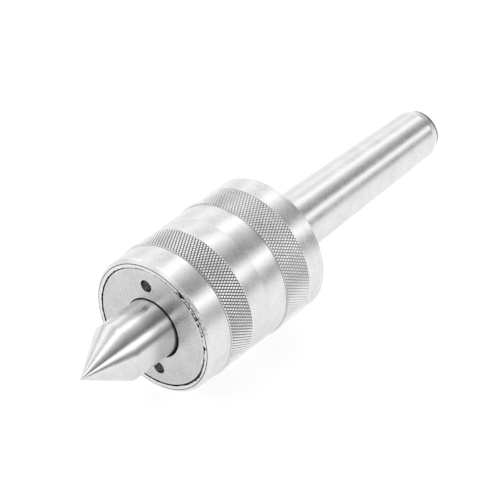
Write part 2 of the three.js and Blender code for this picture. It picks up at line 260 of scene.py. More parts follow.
def piece(node, data, finishes, sharp_above=28):
    """Adds the finished form of a CAD node. It rides on the node's body, and the node is hidden."""
    data.shade_smooth()
    data.set_sharp_from_angle(angle=math.radians(sharp_above))
    if not data.materials:
        for finish in finishes:
            data.materials.append(finish)
    made = bpy.data.objects.new(node + "_finished", data)
    bpy.context.scene.collection.objects.link(made)
    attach(made, BODY_OF[node])
    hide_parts(node)

# ------------------------------------------------------------------ finishes

# Most of a noise's values lie between these two.
NOISE_SPAN = (0.3, 0.7)

class Tree:
    """Shorthand for building a node tree."""

    def __init__(self, owner):
        owner.use_nodes = True
        self.tree = owner.node_tree
        self.tree.nodes.clear()

    def node(self, kind, inputs=(), **settings):
        made = self.tree.nodes.new("ShaderNode" + kind)
        for key, value in settings.items():
            setattr(made, key, value)
        for socket, value in dict(inputs).items():
            if isinstance(value, bpy.types.NodeSocket):
                self.tree.links.new(value, made.inputs[socket])
            else:
                made.inputs[socket].default_value = value
        return made

    def math(self, operation, first, second=0.0):
        return self.node("Math", {0: first, 1: second}, operation=operation).outputs[0]

    def times(self, first, second):
        return self.math("MULTIPLY", first, second)

    def scaled(self, value, low, high, new_low, new_high):
        settings = {"Value": value, "From Min": low, "From Max": high, "To Min": new_low, "To Max": new_high}
        return self.node("MapRange", settings).outputs[0]

    def spread(self, noise_value, low, high):
        """A noise, stretched so that it runs from low to high."""
        return self.scaled(noise_value, *NOISE_SPAN, low, high)

    def blended(self, share, none, full):
        """A value that goes from none to full as the share goes from 0 to 1."""
        return self.scaled(share, 0.0, 1.0, none, full)

    def noise(self, vector, scale, detail=2.0, roughness=0.5):
        settings = {"Vector": vector, "Scale": scale, "Detail": detail, "Roughness": roughness}
        return self.node("TexNoise", settings).outputs[0]

def place_in_mm(tree):
    """Sockets for x, y, z and the radius about the X axis of the point being shaded, in millimetres."""
    here = tree.node("TexCoord").outputs["Object"]
    apart = tree.node("SeparateXYZ", {0: here})
    x, y, z = (tree.times(apart.outputs[axis], 1 / MM) for axis in "XYZ")
    radius_squared = tree.math("ADD", tree.times(y, y), tree.times(z, z))
    return x, y, z, tree.math("SQRT", radius_squared)

# Bare steel. A scale is a noise's cells to the millimetre, a shade multiplies the steel's own colour, and
# a pair of numbers is a stretch of values. MARKS_TURN is the share of a turn from the way the tool marks
# run to the way they stretch a reflection.
MARKS_AROUND = 0.10
MARKS_TURN = 0.25
STAIN_SCALE = 0.22
STAIN_SHADES = (0.91, 1.06)
STAIN_ROUGHNESS = (0.9, 1.12)
GRAIN_SCALE = 2.4
PIT_SCALE = 0.13
PIT_EDGE = (0.02, 0.045)
PIT_DEPTH = 0.01
# Groove bottoms darken towards this shade: dirt and painted shade.
GROOVE_DIRT_AND_PAINTED_SHADE = 0.04
DIRT_ROUGHNESS = 0.15
SMEAR_ANGLES = (math.radians(14), math.radians(26))
SMEAR_SCALE = 1.9
SMEAR_EDGE = (0.42, 0.58)
SMEAR_SHADE = 0.25
SMEARS_AT_CHAMFER = 0.3
TORN_SHADE = 1.2
TORN_ROUGHNESS = 0.3
# A bright line along listed edges: polish from handling and a painted highlight.
WEAR_AND_GLINT_WIDTH = (0.08, 0.25)
WEAR_AND_GLINT_GRAIN = (0.35, 0.6)
WEAR_AND_GLINT_SHADE = 1.2
WORN_ROUGHNESS = 0.6

def dirt_and_shade_in_grooves(tree, shade, rough, radius, groove):
    """Dirt and painted shade in grooves, darkest up to the first of two radii and gone by the second."""
    clean = tree.scaled(radius, *groove, 0.0, 1.0)
    shade = tree.times(shade, tree.blended(clean, GROOVE_DIRT_AND_PAINTED_SHADE, 1.0))
    rough = tree.math("ADD", rough, tree.blended(clean, DIRT_ROUGHNESS, 0.0))
    return shade, rough

def torn_metal(tree, shade, rough, at, y, z, radius):
    """Bright torn metal with dark smears on it about TORN_ANGLE, which thin out over the chamfer."""
    angle = tree.math("ARCTAN2", y, z)
    away = tree.math("ABSOLUTE", tree.math("SUBTRACT", angle, math.radians(TORN_ANGLE)))
    near = tree.times(tree.scaled(away, *SMEAR_ANGLES, 1.0, 0.0),
                      tree.scaled(radius, FACE_LINE_RADIUS, BODY_RADIUS, 1.0, SMEARS_AT_CHAMFER))
    smears = tree.noise(at, SMEAR_SCALE, detail=3.0, roughness=0.7)
    smeared = tree.times(near, tree.scaled(smears, *SMEAR_EDGE, 0.0, 1.0))
    shade = tree.times(shade, tree.blended(near, 1.0, TORN_SHADE))
    shade = tree.times(shade, tree.blended(smeared, 1.0, SMEAR_SHADE))
    rough = tree.math("ADD", rough, tree.times(near, TORN_ROUGHNESS))
    return shade, rough

def worn_edge_and_painted_highlight(tree, shade, rough, grain, profile, edge):
    """A thin bright line along an edge, broken up by the grain: polish from handling and a painted highlight.
    """
    away = tree.node("VectorMath", {0: profile, 1: (*edge, 0)}, operation="DISTANCE").outputs["Value"]
    near = tree.times(tree.scaled(away, *WEAR_AND_GLINT_WIDTH, 1.0, 0.0), tree.scaled(grain, *WEAR_AND_GLINT_GRAIN, 0.0, 1.0))
    shade = tree.times(shade, tree.blended(near, 1.0, WEAR_AND_GLINT_SHADE))
    rough = tree.times(rough, tree.blended(near, 1.0, WORN_ROUGHNESS))
    return shade, rough

def steel(name, colour, roughness, marks=5.0, mark_depth=0.6, mark_shade=0.02, grain_shade=0.07,
          roughness_spread=0.08, anisotropy=0.4, groove=None, pit_shade=0.8, torn=False, worn_and_glint_edges=()):
    """Bare steel off a lathe or grinder: marks that run round the axis, grain, faint stains and small pits.
    marks is how many tool marks there are to the millimetre, and mark_depth how deep they are in
    thousandths of a millimetre. groove gives the two radii between which the metal goes from dirty and
    darkened with painted shade to clean. torn adds the broken stretch of the front face. The last argument
    lists edges, as (x, radius), that get a bright line: polish from handling and a painted highlight."""
    material = bpy.data.materials.new(name)
    tree = Tree(material)
    x, y, z, radius = place_in_mm(tree)
    along = tree.math("ADD", x, radius)
    across = tree.node("CombineXYZ", {0: tree.times(along, marks),
                                      1: tree.times(y, MARKS_AROUND),
                                      2: tree.times(z, MARKS_AROUND)}).outputs[0]
    lines = tree.noise(across, 1.0, detail=3.0, roughness=0.6)
    at = tree.node("CombineXYZ", {0: x, 1: y, 2: z}).outputs[0]
    stains = tree.noise(at, STAIN_SCALE, detail=6.0, roughness=0.65)
    grain = tree.noise(at, GRAIN_SCALE, detail=3.0, roughness=0.65)
    pits = tree.node("TexVoronoi", {"Vector": at, "Scale": PIT_SCALE}, feature="F1").outputs["Distance"]
    pit = tree.scaled(pits, *PIT_EDGE, 1.0, 0.0)

    shade = tree.spread(stains, *STAIN_SHADES)
    shade = tree.times(shade, tree.spread(lines, 1.0 - mark_shade, 1.0 + mark_shade))
    shade = tree.times(shade, tree.spread(grain, 1.0 - grain_shade, 1.0 + grain_shade))
    shade = tree.times(shade, tree.blended(pit, 1.0, pit_shade))
    rough = tree.math("ADD", tree.spread(stains, *(roughness * share for share in STAIN_ROUGHNESS)),
                      tree.spread(grain, -roughness_spread, roughness_spread))
    if groove:
        shade, rough = dirt_and_shade_in_grooves(tree, shade, rough, radius, groove)
    if torn:
        shade, rough = torn_metal(tree, shade, rough, at, y, z, radius)
    profile = tree.node("CombineXYZ", {0: x, 1: radius}).outputs[0]
    for edge in worn_and_glint_edges:
        shade, rough = worn_edge_and_painted_highlight(tree, shade, rough, grain, profile, edge)
    tint = tree.node("VectorMath", {0: colour, "Scale": shade}, operation="SCALE").outputs[0]

    depth = mark_depth * MM * MM
    height = tree.math("ADD", tree.times(lines, depth), tree.times(grain, 2 * depth))
    height = tree.math("SUBTRACT", height, tree.times(pit, PIT_DEPTH * MM))
    bump = tree.node("Bump", {"Height": height, "Strength": 1.0, "Distance": 1.0})
    tangent = tree.node("Tangent", direction_type="RADIAL", axis="X")
    shader = tree.node("BsdfPrincipled", {
        "Base Color": tint, "Metallic": 1.0, "Roughness": rough, "Normal": bump.outputs[0],
        "Anisotropic": anisotropy, "Anisotropic Rotation": MARKS_TURN, "Tangent": tangent.outputs[0],
    })
    tree.node("OutputMaterial", {"Surface": shader.outputs[0]})
    return material

def rubber(name):
    """Black rubber with a little pale dust on it."""
    dust_scale, dust_depth = 1.5, 0.02
    clean, dusty = 0.012, 0.035
    material = bpy.data.materials.new(name)
    tree = Tree(material)
    x, y, z, _ = place_in_mm(tree)
    at = tree.node("CombineXYZ", {0: x, 1: y, 2: z}).outputs[0]
    dust = tree.noise(at, dust_scale, detail=5.0)
    tint = tree.scaled(dust, 0.35, 0.7, clean, dusty)
    rough = tree.spread(dust, 0.65, 0.9)
    bump = tree.node("Bump", {"Height": tree.times(dust, dust_depth * MM), "Distance": 1.0})
    shader = tree.node("BsdfPrincipled", {"Base Color": tint, "Roughness": rough, "Normal": bump.outputs[0]})
    tree.node("OutputMaterial", {"Surface": shader.outputs[0]})
    return material

LEAD_START = SHANK_END + LEAD_LENGTH
# Edges that get a bright line: polish from handling and a painted highlight.
SHANK_EDGES = [(LEAD_START, GAUGE_RADIUS + TAPER_PER_MM * LEAD_START)]
BODY_EDGES = [(BODY_REAR, BODY_RADIUS - BODY_CHAMFER), (BODY_REAR + BODY_CHAMFER, BODY_RADIUS),
              (BODY_FRONT - BODY_CHAMFER, BODY_RADIUS)]
CAP_EDGES = [(CAP.front, CAP.radius - 0.3), (CAP.front, CAP_HOLE_RADIUS + 0.1)]
POINT_EDGES = [(SPINDLE.front, 0)]

BODY_COLOUR = (0.74, 0.742, 0.745)
BODY_ROUGHNESS = 0.33

BODY_STEEL = steel("turned_body_steel", BODY_COLOUR, BODY_ROUGHNESS)
# Lighter than the body's own steel, a painted highlight on the crests; the groove bottoms get dirt and
# painted shade.
KNURL_STEEL = steel("knurled_steel", (0.98, 0.982, 0.985), 0.42, anisotropy=0.0,
                    groove=(KNURL_RADIUS - KNURL_DEPTH, KNURL_RADIUS - 0.095))
SHANK_STEEL = steel("ground_shank_steel", BODY_COLOUR, BODY_ROUGHNESS, marks=7.0, grain_shade=0.06,
                    worn_and_glint_edges=SHANK_EDGES)
ROUGH_STEEL = steel("rough_turned_steel", (0.24, 0.24, 0.245), 0.40, marks=2.5, mark_depth=4.0,
                    grain_shade=0.8)
REAR_STEEL = steel("coarse_turned_steel", BODY_COLOUR, BODY_ROUGHNESS, marks=1.8, mark_depth=2.0,
                   mark_shade=0.10, worn_and_glint_edges=BODY_EDGES)
FACE_STEEL = steel("faced_body_steel", BODY_COLOUR, BODY_ROUGHNESS, marks=3.0, mark_depth=1.0, torn=True,
                   worn_and_glint_edges=BODY_EDGES)
# Near-black steel for the foot of each knurled band, the line in the front face, the body's mouth and the
# cap's hole: dirt and painted shade in these grooves, recesses and joints.
GRIME_AND_SHADE_STEEL = steel("grime_and_painted_shade_steel", (0.05, 0.05, 0.05), 0.55, mark_depth=3.0, grain_shade=0.6, anisotropy=0.0)
CAP_STEEL = steel("faced_cap_steel", (0.57, 0.572, 0.575), 0.30, marks=4.0, mark_depth=1.0, mark_shade=0.04,
                  grain_shade=0.22, anisotropy=0.5, worn_and_glint_edges=CAP_EDGES)
# Darker than the cap's own steel: painted shade inside the spanner holes.
DRILLED_STEEL = steel("drilled_steel", (0.42, 0.42, 0.425), 0.25, marks=2.5, mark_depth=8.0,
                      mark_shade=0.5, grain_shade=0.5, anisotropy=0.0)
POINT_STEEL = steel("ground_point_steel", (0.70, 0.702, 0.706), 0.22, marks=8.0, mark_depth=0.25,
                    grain_shade=0.09, roughness_spread=0.04, anisotropy=0.92, worn_and_glint_edges=POINT_EDGES)
BEARING_STEEL = steel("polished_bearing_steel", (0.62, 0.624, 0.632), 0.10, marks=9.0, mark_depth=0.1,
                      roughness_spread=0.03)
SHEET_STEEL = steel("pressed_sheet_steel", (0.52, 0.52, 0.53), 0.30, marks=1.5, mark_depth=0.8,
                    anisotropy=0.2)
SPRING_STEEL = steel("black_oxide_spring_steel", (0.06, 0.06, 0.064), 0.38, marks=2.0, mark_depth=1.0,
                     grain_shade=0.2, anisotropy=0.0, pit_shade=2.5)
SEAL_RUBBER = rubber("seal_rubber_black")

# ------------------------------------------------------------------ housing with its shank

HOUSING_FINISHES = [BODY_STEEL, KNURL_STEEL, SHANK_STEEL, ROUGH_STEEL, REAR_STEEL, FACE_STEEL, GRIME_AND_SHADE_STEEL]
BODY, KNURL, SHANK, ROUGH, REAR, FACE, GRIME_AND_SHADE = range(len(HOUSING_FINISHES))

# How far past the last row of one finish the first row of the next one is.
SEAM = 0.02

def taper_radius(x):
    return GAUGE_RADIUS + TAPER_PER_MM * x

def knurl_band(start, end):
    """Rows of diamond knurling, where two families of V grooves cross. Both run exactly along the mesh's
    edges, because a column and a row are the same share of a groove's pitch. A groove's flank is measured
    in columns. The band's two ends are a little lower, from wear."""
    column_width = FULL_TURN * KNURL_RADIUS / KNURL_COLUMNS
    count = 2 * round((end - start) * math.tan(KNURL_ANGLE) / column_width / 2)
    flank = 1.7
    edge_drop = 0.05

    def relief_of(row):
        def relief(_, angle):
            column = round(angle * KNURL_COLUMNS / FULL_TURN)
            places = (column + row, column - row)
            nearest = min(min(place % COLUMNS_PER_GROOVE, -place % COLUMNS_PER_GROOVE) for place in places)
            return -KNURL_DEPTH * (1 - min(1, nearest / flank))
        return relief

    made = []
    for row in range(count + 1):
        drop = edge_drop if row in (0, count) else 0
        finish = KNURL if row < count else BODY
        x = start + (end - start) * row / count
        made.append(Row(x, KNURL_RADIUS - drop, KNURL_COLUMNS, relief_of(row), finish))
    return made

def knurl_foot(band):
    """A near-black line along the foot of the step in front of a knurled band: dirt and painted shade."""
    return Row(band[1] + KNURL_STEP, BODY_RADIUS, finish=GRIME_AND_SHADE)

def bump_at(angle, centre, half_width):
    """1 at an angle of the given degrees, falling off smoothly either side."""
    away = (math.degrees(angle) - centre + 180) % 360 - 180
    return math.exp(-(away / half_width) ** 2)

def chipped(_, angle):
    """How far the mouth of the body has broken away, where the last turn of thread runs out through it."""
    mouth_radius = 18
    coarse, fine, fine_share, usual = 0.35, 1.1, 1.8, 0.4
    torn_middle, torn_half_width, crescent_half_width = TORN_ANGLE + 12, 28, 18
    torn_depth, crescent_depth, worn_depth, deepest = 0.8, 0.4, 0.12, 1.0
    around = Vector((math.sin(angle), math.cos(angle), 0)) * mouth_radius
    ragged = max(0, usual + noise.noise(around * coarse) + fine_share * noise.noise(around * fine))
    torn = torn_depth * bump_at(angle, torn_middle, torn_half_width)
    crescent = crescent_depth * bump_at(angle, CRESCENT_ANGLE, crescent_half_width)
    return min(deepest, torn * ragged + crescent + worn_depth * ragged)

def notched(_, angle):
    """The line cut in the front face has a deep notch on its inner side."""
    depth, half_width = 1.0, 3
    return -depth * bump_at(angle, NOTCH_ANGLE, half_width)

def groove_share(x, angle):
    """1 at the bottom of the cap's thread groove, and 0 along the thread's crest."""
    phase = (x / THREAD_PITCH - angle / FULL_TURN) % 1
    steepness, crest = 2.6, 0.15
    return max(0, min(1, steepness * abs(phase - 0.5) - crest))

def within(x, start, end):
    """0 outside a stretch, rising to 1 within half a millimetre of each end."""
    rise = 0.5
    return max(0, min(1, (x - start) / rise, (end - x) / rise))

def body_thread(x, angle):
    """Relief of the housing's inner thread, whose ridge fits the cap's groove and runs out at the mouth."""
    share = groove_share(x, angle)
    torn_length, torn_share = 1.5, 0.5
    near_mouth = max(0, 1 - (BODY_FRONT - x) / torn_length)
    ridge = THREAD_DEPTH * share * within(x, CAP.rear - THREAD_PITCH, BODY_FRONT - THREAD_RUN_OUT)
    root_clearance = 0.25
    return root_clearance * (1 - share) - ridge + torn_share * near_mouth * chipped(x, angle)

def cap_thread(x, angle):
    return -THREAD_DEPTH * groove_share(x, angle) * within(x, CAP.rear, BODY_FRONT - THREAD_RUN_OUT)

def thread_rows(start, end, radius, relief):
    count = round(abs(end - start) / THREAD_PITCH * THREAD_ROWS_PER_TURN)
    return [Row(start + (end - start) * row / count, radius, relief=relief) for row in range(count + 1)]

def shank_rows():
    """The end face with its centre hole, the scuffed rim, the lead, and the taper up to the body."""
    end = SHANK_END
    hole, hole_mouth, hole_depth, drill_tip, countersink = 1.25, 3.0, 5.5, 0.7, 3.03
    edge, lead_edge, root = 0.3, 0.2, 0.6
    rim_width, scuffed = 0.6, 1.1
    lead_radius = taper_radius(end) - LEAD_DEPTH
    lead_slope = (taper_radius(end + LEAD_LENGTH) - lead_radius) / LEAD_LENGTH
    end_face = rows([
        (end + hole_depth + drill_tip, 0), (end + hole_depth, hole), (end + countersink, hole),
        (end, hole_mouth, edge), (end, lead_radius - rim_width - SEAM),
    ], part=True, finish=REAR)
    rim = rows([
        (end, lead_radius - rim_width), (end, lead_radius, edge),
        (end + scuffed, lead_radius + lead_slope * scuffed),
    ], part=True, finish=ROUGH)
    clean = scuffed + SEAM
    taper = rows([
        (end + clean, lead_radius + lead_slope * clean),
        (end + LEAD_LENGTH, taper_radius(end + LEAD_LENGTH), lead_edge),
        (BODY_REAR - root, taper_radius(BODY_REAR)),
    ], part=True, finish=SHANK)
    return end_face + rim + taper

def body_rear_rows():
    """From a small fillet at the root of the shank, over the rear face, to the rear knurled band."""
    root = taper_radius(BODY_REAR)
    turned = BODY_RADIUS - 0.04
    inner_edge, outer_edge = 0.2, 0.15
    line_half_width, line_depth = 0.15, 0.12
    foot = REAR_KNURL[0] - KNURL_GAP
    foot_length = 0.15
    return rows([
        (BODY_REAR - 0.1, root + 0.05), (BODY_REAR, root + 0.3),
        (BODY_REAR, BODY_RADIUS - BODY_CHAMFER, inner_edge), (BODY_REAR + BODY_CHAMFER, turned, outer_edge),
        (REAR_LINE - line_half_width, turned, 0), (REAR_LINE, turned - line_depth, 0),
        (REAR_LINE + line_half_width, turned, 0),
        (foot - foot_length, turned), (foot, BODY_RADIUS),
    ], part=True, finish=REAR)

def barrel_rows():
    """The smooth barrel between the knurled bands."""
    line_half_width, line_depth = 0.12, 0.03
    return [knurl_foot(REAR_KNURL)] + rows([
        (REAR_KNURL[1] + KNURL_STEP + FOOT_LINE, BODY_RADIUS),
        (BARREL_LINE - line_half_width, BODY_RADIUS, 0), (BARREL_LINE, BODY_RADIUS - line_depth, 0),
        (BARREL_LINE + line_half_width, BODY_RADIUS, 0), (FRONT_KNURL[0] - KNURL_GAP, BODY_RADIUS),
    ], part=True)

def body_front_rows():
    """From the front knurled band, over the chamfer and the front face with its line, to the torn mouth."""
    chamfer = BODY_FRONT - BODY_CHAMFER
    side_end = chamfer - 0.1
    side_edge, face_edge = 0.15, 0.05
    outer_face = BODY_FRONT - 0.05
    line_outer, line_inner = FACE_LINE_RADIUS + 0.1, FACE_LINE_RADIUS - 0.12
    line_bottom, line_width = BODY_FRONT - 0.4, 0.05
    mouth_radius, mouth_depth = CAP.radius + 0.2, 0.6
    side = [knurl_foot(FRONT_KNURL)] + rows([
        (FRONT_KNURL[1] + KNURL_STEP + FOOT_LINE, BODY_RADIUS), (side_end, BODY_RADIUS),
    ], part=True)
    rim = rows([
        (side_end + SEAM, BODY_RADIUS), (chamfer, BODY_RADIUS - 0.02, side_edge),
        (outer_face, BODY_RADIUS - BODY_CHAMFER + 0.03, face_edge), (outer_face, line_outer),
    ], part=True, finish=FACE)
    # The face line and the mouth get the near-black steel: dirt and painted shade.
    line = [Row(outer_face - 0.01, line_outer - 0.01, finish=GRIME_AND_SHADE),
            Row(line_bottom, FACE_LINE_RADIUS, KNURL_COLUMNS, finish=GRIME_AND_SHADE),
            Row(line_bottom, FACE_LINE_RADIUS - line_width, KNURL_COLUMNS, notched, GRIME_AND_SHADE),
            Row(BODY_FRONT, line_inner, KNURL_COLUMNS, notched, FACE)]
    mouth = [Row(BODY_FRONT, mouth_radius + 0.05, KNURL_COLUMNS, chipped, GRIME_AND_SHADE),
             Row(BODY_FRONT - mouth_depth, mouth_radius, KNURL_COLUMNS, chipped, GRIME_AND_SHADE)]
    return side + rim + line + mouth

def bore_rows():
    """The thread that the cap screws into, then a bore for each bearing, down to the drilled bottom."""
    front_bearing = reach("front_bearing_outer_race")
    thrust_bearing = reach("thrust_bearing_housing_washer")
    needle_cup = reach("needle_bearing_cup")
    thread_start = BODY_FRONT - 0.7
    thread_end = CAP.rear - 0.1
    fit, ledge = 0.1, 0.05
    seat = front_bearing.radius + fit
    thrust_seat = thrust_bearing.radius + fit
    needle_seat = needle_cup.radius + fit
    tail_bore, tail_room, drill_tip = 5.5, 0.05, 3.35
    thread = thread_rows(thread_start, thread_end, CAP.radius + CAP_GAP, body_thread)
    bores = rows([
        (thread_end, seat), (front_bearing.rear - ledge, seat),
        (front_bearing.rear - ledge, thrust_seat), (thrust_bearing.rear - ledge, thrust_seat),
        (thrust_bearing.rear - ledge, needle_seat), (needle_cup.rear - ledge, needle_seat),
        (needle_cup.rear - tail_room, tail_bore), (needle_cup.rear - drill_tip, 0),
    ], part=True)
    return thread + bores

def housing_rows():
    return (shank_rows() + body_rear_rows() + knurl_band(*REAR_KNURL) + barrel_rows()
            + knurl_band(*FRONT_KNURL) + body_front_rows() + bore_rows())

piece("housing", turned_mesh(housing_rows()), HOUSING_FINISHES)

# ------------------------------------------------------------------ front cap and seal

CAP_FINISHES = [CAP_STEEL, GRIME_AND_SHADE_STEEL, DRILLED_STEEL]
CAP_GRIME_AND_SHADE = CAP_FINISHES.index(GRIME_AND_SHADE_STEEL)

def pin_hole(angle):
    """The drill that makes one spanner hole, with its lightly broken edge."""
    tip = PIN_HOLE_RADIUS * DRILL_SLOPE
    edge, columns, past_face = 0.08, 48, 0.5
    outline = [(-PIN_HOLE_DEPTH - tip, 0), (-PIN_HOLE_DEPTH, PIN_HOLE_RADIUS), (-edge, PIN_HOLE_RADIUS),
               (past_face, PIN_HOLE_RADIUS + past_face + edge), (past_face, 0)]
    drill = turned_mesh([Row(x, radius, columns) for x, radius in outline])
    return moved_out(drill, PIN_HOLE_PITCH_RADIUS, angle, CAP.front)

def hole_run_out(_, angle):
    """The cap's hole isn't quite true with the cap's outside."""
    return CAP_HOLE_RUNOUT * math.cos(angle - CAP_HOLE_RUNOUT_ANGLE)

def cap_mesh():
    """The recessed back, the groove for the seal, the hole, the front face and the outer thread."""
    front = CAP.front
    recess, recess_depth = 15.3, 0.8
    relieved = CAP_HOLE_RADIUS + 0.2
    groove, groove_front, groove_rear = 11.1, front - 1.8, front - 4.8
    edge, land = 0.1, 0.6
    rim, rim_depth = 0.25, 0.2
    back = rows([
        (CAP.rear, recess), (CAP.rear + recess_depth, recess), (CAP.rear + recess_depth, relieved),
        (groove_rear, relieved), (groove_rear, groove), (groove_front, groove), (groove_front, relieved),
    ], part=True)
    # The hole round the nose gets the near-black steel: dirt and painted shade in the gap.
    hole = rows([
        (groove_front + 0.1, CAP_HOLE_RADIUS), (front - edge, CAP_HOLE_RADIUS, 0),
        (front, CAP_HOLE_RADIUS + edge),
    ], part=True, relief=hole_run_out, finish=CAP_GRIME_AND_SHADE)
    hole.append(Row(front, CAP_HOLE_RADIUS + edge + SEAM, relief=hole_run_out))
    face = rows([
        (front, CAP_HOLE_RADIUS + land), (front, CAP.radius - rim, edge), (front - rim_depth, CAP.radius),
    ], part=True)
    thread = thread_rows(front - rim_depth - 0.05, CAP.rear + 0.05, CAP.radius, cap_thread)
    holes = [pin_hole(PIN_HOLE_TILT), pin_hole(math.pi + PIN_HOLE_TILT)]
    return cut(turned_mesh(back + hole + face + thread), holes, CAP_FINISHES)

def seal_rows():
    """A ring of rubber with one lip that points in at the nose."""
    seal = reach("cap_seal")
    hole = CAP_HOLE_RADIUS + 0.1
    lip = NOSE_RADIUS + 0.15
    edge, lip_edge = 0.3, 0.2
    return rows([(seal.front, hole), (seal.front, seal.radius, edge), (seal.rear, seal.radius, edge),
                 (seal.rear, hole), ((seal.front + seal.rear) / 2, lip, lip_edge)])

piece("front_cap", cap_mesh(), CAP_FINISHES)
piece("cap_seal", turned_mesh(seal_rows()), [SEAL_RUBBER])

# ------------------------------------------------------------------ spindle and its circlip

def spindle_rows():
    """The tail's journals one by one, the circlip's groove, then the nose and the point."""
    race = reach("front_bearing_inner_race")
    washer = reach("thrust_bearing_shaft_washer")
    tail, tip = SPINDLE.rear, SPINDLE.front
    needle_journal, thrust_journal, race_journal, clip_seat = 4.95, 6.0, 7.5, 7.0
    fit = 0.05
    tail_edge, shoulder, shoulder_edge, nose_edge = 0.6, 24, 0.3, 0.3
    blunt_length, blunt_radius, blunt_edge = 0.06, 0.16, 0.12
    groove_front = race.rear - fit
    groove_rear = groove_front - 1.2
    thrust_face = washer.front + fit
    nose_rear = race.front + fit
    blunted = 0.21
    cone_base = tip + blunted - NOSE_RADIUS / math.tan(POINT_HALF_ANGLE)
    return rows([
        (tail, 0), (tail, needle_journal - tail_edge), (tail + tail_edge, needle_journal),
        (shoulder, needle_journal), (shoulder, thrust_journal - shoulder_edge),
        (shoulder + shoulder_edge, thrust_journal), (thrust_face, thrust_journal),
        (thrust_face, race_journal), (groove_rear, race_journal), (groove_rear, clip_seat),
        (groove_front, clip_seat), (groove_front, race_journal), (nose_rear, race_journal),
        (nose_rear, NOSE_RADIUS - nose_edge), (nose_rear + nose_edge, NOSE_RADIUS),
        (cone_base, NOSE_RADIUS, nose_edge), (tip - blunt_length, blunt_radius, blunt_edge), (tip, 0),
    ])

piece("spindle", turned_mesh(spindle_rows()), [POINT_STEEL])

def circlip_mesh():
    """A C-shaped ring, with a lug and a plier hole at each end of its mouth."""
    clip = reach("spindle_circlip")
    inner, outer, lug = 7.1, 9.3, 10.6
    mouth, lug_end = math.radians(12), math.radians(34)
    ring_start = lug_end + 0.04
    mouth_angle = math.pi
    lug_steps, ring_steps, inner_steps = 8, 72, 88
    plier_hole, drill_columns, past = 0.85, 24, 1

    def sweep(radius, start, end, steps):
        angles = [mouth_angle + start + (end - start) * step / steps for step in range(steps + 1)]
        return [(radius * math.sin(a), radius * math.cos(a)) for a in angles]

    outline = (sweep(lug, mouth, lug_end, lug_steps)
               + sweep(outer, ring_start, FULL_TURN - ring_start, ring_steps)
               + sweep(lug, FULL_TURN - lug_end, FULL_TURN - mouth, lug_steps)
               + sweep(inner, FULL_TURN - mouth, mouth, inner_steps))
    mesh = bmesh.new()
    rear = [mesh.verts.new(Vector((clip.rear, y, z)) * MM) for y, z in outline]
    front = [mesh.verts.new(Vector((clip.front, y, z)) * MM) for y, z in outline]
    mesh.faces.new(rear)
    mesh.faces.new(front)
    bridge(mesh, rear, front, finish=0, split=None)
    bmesh.ops.recalc_face_normals(mesh, faces=mesh.faces)
    data = bpy.data.meshes.new("circlip")
    mesh.to_mesh(data)
    mesh.free()
    drill = [Row(x, radius, drill_columns) for x, radius in (
        (clip.rear - past, 0), (clip.rear - past, plier_hole), (clip.front + past, plier_hole),
        (clip.front + past, 0))]
    hole_angle = (mouth + lug_end) / 2
    holes = [moved_out(turned_mesh(drill), (inner + lug) / 2, mouth_angle + side * hole_angle)
             for side in (-1, 1)]
    return cut(data, holes, [SPRING_STEEL])

piece("spindle_circlip", circlip_mesh(), [SPRING_STEEL])

# ------------------------------------------------------------------ bearings

# Between a ball and the grooves and pockets that it runs in.
BALL_CLEARANCE = 0.12

def ball_mesh(radius, steps=24, columns=48):
    """A ball, with its poles on its own X axis."""
    poles = (0, steps)
    return turned_mesh([Row(-radius * math.cos(math.pi * step / steps),
                            0 if step in poles else radius * math.sin(math.pi * step / steps), columns)
                        for step in range(steps + 1)])

def balls(prefix, count, radius, pitch_radius, x):
    for index in range(count):
        angle = FULL_TURN * index / count
        piece(f"{prefix}_{index + 1}", moved_out(ball_mesh(radius), pitch_radius, angle, x), [BEARING_STEEL])

def ball_cage(node, count, ball_radius, pitch_radius, inner, outer):
    """A ring with a round pocket for each ball."""
    cage = reach(node)
    middle = (cage.rear + cage.front) / 2
    blank = turned_mesh(rows([
        (cage.rear, inner), (cage.rear, outer), (cage.front, outer), (cage.front, inner),
    ], columns=FINE_COLUMNS))
    pockets = []
    for index in range(count):
        pocket = ball_mesh(ball_radius + BALL_CLEARANCE, steps=16)
        pockets.append(moved_out(pocket, pitch_radius, FULL_TURN * index / count, middle))
    piece(node, cut(blank, pockets, [SHEET_STEEL]), [SHEET_STEEL])

def fine_ring(node, outline, finish, edge=EDGE):
    piece(node, turned_mesh(rows(outline, edge, columns=FINE_COLUMNS)), [finish])

